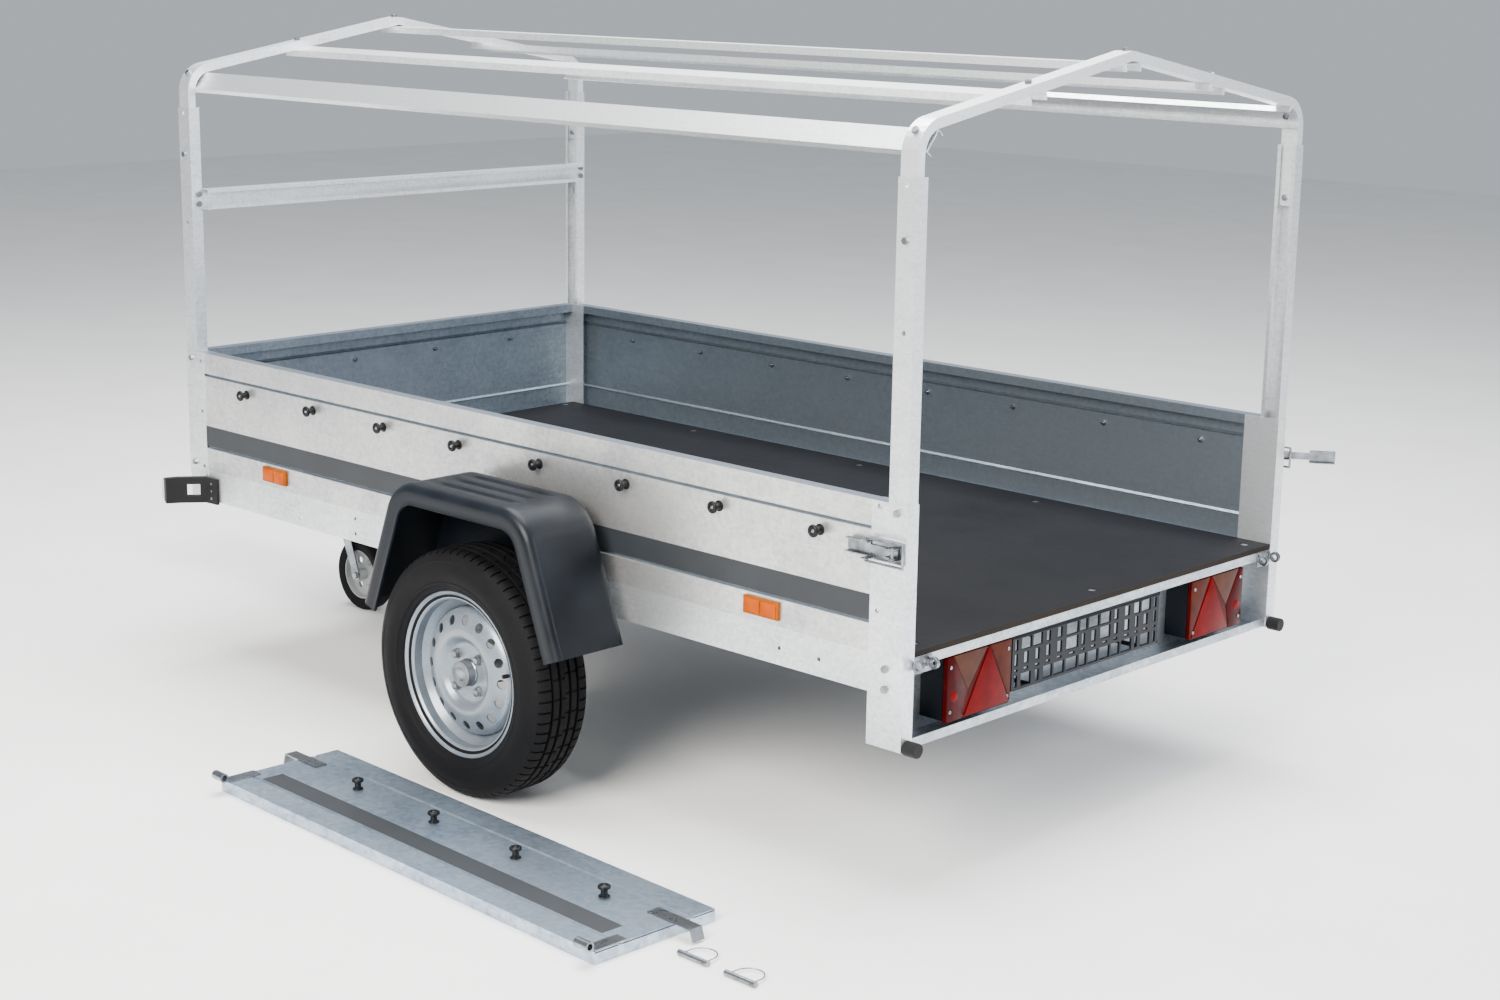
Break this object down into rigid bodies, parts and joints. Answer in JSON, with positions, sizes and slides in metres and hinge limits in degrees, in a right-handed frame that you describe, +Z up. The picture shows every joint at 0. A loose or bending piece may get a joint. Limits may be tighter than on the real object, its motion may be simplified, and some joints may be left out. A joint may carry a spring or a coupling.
{
  "type": "utility trailer",
  "caption": "Light utility trailer with folded sheet sides, a raised tarpaulin frame and a jockey wheel; its tailgate is lifted off and laid beside the wheel.",
  "frame": {"origin": "centre of the tow-ball socket in the coupling head", "axes": "+X forward along the drawbar, +Y to the trailer's left, +Z up"},
  "size_m": [3.3624, 2.1861, 1.6155],
  "materials": {
    "galvanised_sheet": "hot-dip galvanised sheet with a faint spangle",
    "galvanised_section": "hot-dip galvanised folded section",
    "hot_dip_steel": "dull batch-galvanised steel",
    "zinc_plated_steel": "bright zinc plating",
    "phenolic_plywood": "phenolic film-faced plywood",
    "spring_rubber": "moulded black rubber",
    "cast_coupling": "zinc-passivated casting",
    "black_lever_paint": "black powder coat",
    "grey_nylon": "moulded nylon",
    "solid_rubber_tyre": "solid rubber",
    "black_polypropylene": "injection-moulded, lightly grained",
    "red_lens": "moulded acrylic lens",
    "amber_reflector": "prismatic acrylic",
    "cast_hub": "machined cast iron",
    "silver_enamel": "silver enamel",
    "tyre_rubber": "vulcanised tyre rubber"
  },
  "bodies": {
    "chassis": {"side_panels": "galvanised_sheet", "front_panel": "galvanised_sheet", "side_members": "galvanised_section", "cross_members": "galvanised_section", "rear_sill": "galvanised_section", "rear_posts": "galvanised_section", "front_posts": "galvanised_section", "uprights": "galvanised_section", "front_cross_rail": "galvanised_section", "bows": "galvanised_section", "roof_rails": "galvanised_section", "fender_brackets": "galvanised_section", "drawbar": "hot_dip_steel", "drawbar_saddles": "hot_dip_steel", "axle_tube": "hot_dip_steel", "axle_brackets": "hot_dip_steel", "frame_bolts": "zinc_plated_steel", "rivets": "zinc_plated_steel", "floor_bolts": "zinc_plated_steel", "jockey_outer_tube": "zinc_plated_steel", "jockey_clamp": "zinc_plated_steel", "hinge_lugs": "zinc_plated_steel", "latch_bases": "zinc_plated_steel", "floor_board": "phenolic_plywood", "torsion_rubbers": "spring_rubber", "buffers": "spring_rubber", "position_lamps": "spring_rubber", "coupling_head": "cast_coupling", "fenders": "black_polypropylene", "lamp_housings": "black_polypropylene", "plate_holder": "black_polypropylene", "tarp_knobs": "black_polypropylene", "lamp_lenses": "red_lens", "side_reflectors": "amber_reflector"},
    "arm_left": {"trailing_arm_left": "hot_dip_steel"},
    "arm_right": {"trailing_arm_right": "hot_dip_steel"},
    "wheel_left": {"wheel_hub_left": "cast_hub", "wheel_left": "silver_enamel", "tyre_left": "tyre_rubber"},
    "wheel_right": {"wheel_hub_right": "cast_hub", "wheel_right": "silver_enamel", "tyre_right": "tyre_rubber"},
    "coupling_handle": {"coupling_handle": "black_lever_paint"},
    "coupling_jaw": {"coupling_jaw": "cast_coupling"},
    "clamp_screw": {"clamp_screw": "zinc_plated_steel"},
    "crank": {"jockey_crank": "zinc_plated_steel"},
    "inner_tube": {"jockey_inner_tube": "zinc_plated_steel"},
    "fork": {"jockey_fork": "zinc_plated_steel"},
    "jockey_wheel": {"jockey_rim": "grey_nylon", "jockey_tyre": "solid_rubber_tyre"},
    "lever_left": {"latch_lever_left": "zinc_plated_steel"},
    "lever_right": {"latch_lever_right": "zinc_plated_steel"},
    "bail_left": {"latch_bail_left": "zinc_plated_steel"},
    "bail_right": {"latch_bail_right": "zinc_plated_steel"},
    "tailgate": {"tailgate_panel": "galvanised_sheet", "tailgate_fittings": "zinc_plated_steel"},
    "pin_front": {"lock_pin_front": "zinc_plated_steel"},
    "pin_rear": {"lock_pin_rear": "zinc_plated_steel"},
    "ring_front": {"pin_ring_front": "zinc_plated_steel"},
    "ring_rear": {"pin_ring_rear": "zinc_plated_steel"}
  },
  "joints": [
    {"name": "suspension_left", "type": "hinge", "parent": "chassis", "child": "arm_left", "pos_m": [-2.05, 0.7, -0.08], "axis": [0, 1, 0], "range_deg": [-8, 10], "stiffness_Nm_per_rad": 1500, "springref_deg": -3.55},
    {"name": "suspension_right", "type": "hinge", "parent": "chassis", "child": "arm_right", "pos_m": [-2.05, -0.7, -0.08], "axis": [0, 1, 0], "range_deg": [-8, 10], "stiffness_Nm_per_rad": 1500, "springref_deg": -3.55},
    {"name": "wheel_left_spin", "type": "hinge", "parent": "arm_left", "child": "wheel_left", "pos_m": [-2.2, 0.815, -0.1165], "axis": [0, 1, 0], "continuous": true},
    {"name": "wheel_right_spin", "type": "hinge", "parent": "arm_right", "child": "wheel_right", "pos_m": [-2.2, -0.815, -0.1165], "axis": [0, 1, 0], "continuous": true},
    {"name": "coupling_handle_hinge", "type": "hinge", "parent": "chassis", "child": "coupling_handle", "pos_m": [-0.062, 0, 0.038], "axis": [0, 1, 0], "range_deg": [0, 45], "stiffness_Nm_per_rad": 1, "springref_deg": -11.46},
    {"name": "coupling_jaw_hinge", "type": "hinge", "parent": "chassis", "child": "coupling_jaw", "pos_m": [-0.042, 0, 0.012], "axis": [0, 1, 0], "range_deg": [0, 9]},
    {"name": "clamp_screw_turn", "type": "hinge", "parent": "chassis", "child": "clamp_screw", "pos_m": [-0.75, 0.1, -0.015], "axis": [1, 0, 0], "range_deg": [-90, 90]},
    {"name": "jockey_height", "type": "slide", "parent": "chassis", "child": "inner_tube", "axis": [0, 0, 1], "range_m": [-0.15, 0.05]},
    {"name": "jockey_crank_turn", "type": "hinge", "parent": "chassis", "child": "crank", "pos_m": [-0.8, 0.1, 0.17], "axis": [0, 0, 1], "range_deg": [-9000, 3000]},
    {"name": "jockey_swivel", "type": "hinge", "parent": "inner_tube", "child": "fork", "pos_m": [-0.8, 0.1, -0.17], "axis": [0, 0, 1], "continuous": true},
    {"name": "jockey_wheel_spin", "type": "hinge", "parent": "fork", "child": "jockey_wheel", "pos_m": [-0.845, 0.1, -0.29], "axis": [0, 1, 0], "continuous": true},
    {"name": "latch_lever_left_hinge", "type": "hinge", "parent": "chassis", "child": "lever_left", "pos_m": [-3.23, 0.676, 0.304], "axis": [0, 0, 1], "range_deg": [0, 150]},
    {"name": "latch_lever_right_hinge", "type": "hinge", "parent": "chassis", "child": "lever_right", "pos_m": [-3.23, -0.676, 0.304], "axis": [0, 0, -1], "range_deg": [-147, 3]},
    {"name": "latch_bail_left_hinge", "type": "hinge", "parent": "chassis", "child": "bail_left", "pos_m": [-3.163, 0.675, 0.304], "axis": [0, 0, -1], "range_deg": [-3, 100]},
    {"name": "latch_bail_right_hinge", "type": "hinge", "parent": "chassis", "child": "bail_right", "pos_m": [-3.163, -0.675, 0.304], "axis": [0, 0, 1], "range_deg": [-3, 100]},
    {"name": "tailgate_lift", "type": "slide", "parent": "chassis", "child": "tailgate", "axis": [0, 0, 1], "range_m": [0, 0.5]},
    {"name": "lock_pin_front_lift", "type": "slide", "parent": "chassis", "child": "pin_front", "axis": [0, 0, 1], "range_m": [0, 0.3]},
    {"name": "lock_pin_rear_lift", "type": "slide", "parent": "chassis", "child": "pin_rear", "axis": [0, 0, 1], "range_m": [0, 0.3]},
    {"name": "pin_ring_front_hinge", "type": "hinge", "parent": "pin_front", "child": "ring_front", "pos_m": [-3.195, 1.1265, -0.3843], "axis": [0, -1, 0], "range_deg": [0, 170]},
    {"name": "pin_ring_rear_hinge", "type": "hinge", "parent": "pin_rear", "child": "ring_rear", "pos_m": [-3.317, 1.1295, -0.3843], "axis": [0, -1, 0], "range_deg": [0, 170]}
  ],
  "couplings": [
    {"joint": "coupling_jaw_hinge", "follows": "coupling_handle_hinge", "ratio": 0.2},
    {"joint": "jockey_crank_turn", "follows": "jockey_height", "rad_per_m": 1047.2}
  ]
}
